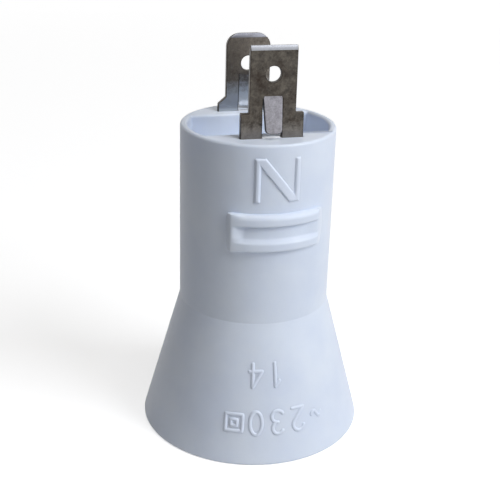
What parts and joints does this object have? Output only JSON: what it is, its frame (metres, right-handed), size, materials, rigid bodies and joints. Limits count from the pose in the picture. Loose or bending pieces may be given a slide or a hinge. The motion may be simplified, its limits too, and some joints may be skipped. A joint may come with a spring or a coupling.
{
  "type": "refrigerator lamp adapter",
  "caption": "Small white lamp holder with a cylindrical neck, a flared skirt round the lamp, an E14 screw shell inside and push-on tabs on its closed end.",
  "frame": {"origin": "centre of the mouth, in the plane of the skirt's rim that the part stands on", "axes": "+Z along the socket's axis towards the tabs; -Y is the marked side with the neutral tab and the key pad; +X is to the right seen from the marked side"},
  "size_m": [0.0322, 0.0322, 0.0571],
  "materials": {
    "white_plastic": "fine satin moulding, cool white",
    "plated_shell": "bright nickel plate over thin rolled brass",
    "tinned_strip": "dull tarnished plate on stamped strip",
    "spring_bronze": "rolled spring bronze",
    "rivet_brass": "upset brass heads"
  },
  "bodies": {
    "root": {"housing": "white_plastic", "screw_shell": "plated_shell", "neutral_terminal": "tinned_strip", "line_terminal": "tinned_strip", "centre_contact": "spring_bronze", "shell_rivet": "rivet_brass", "contact_rivet": "rivet_brass"}
  },
  "joints": []
}
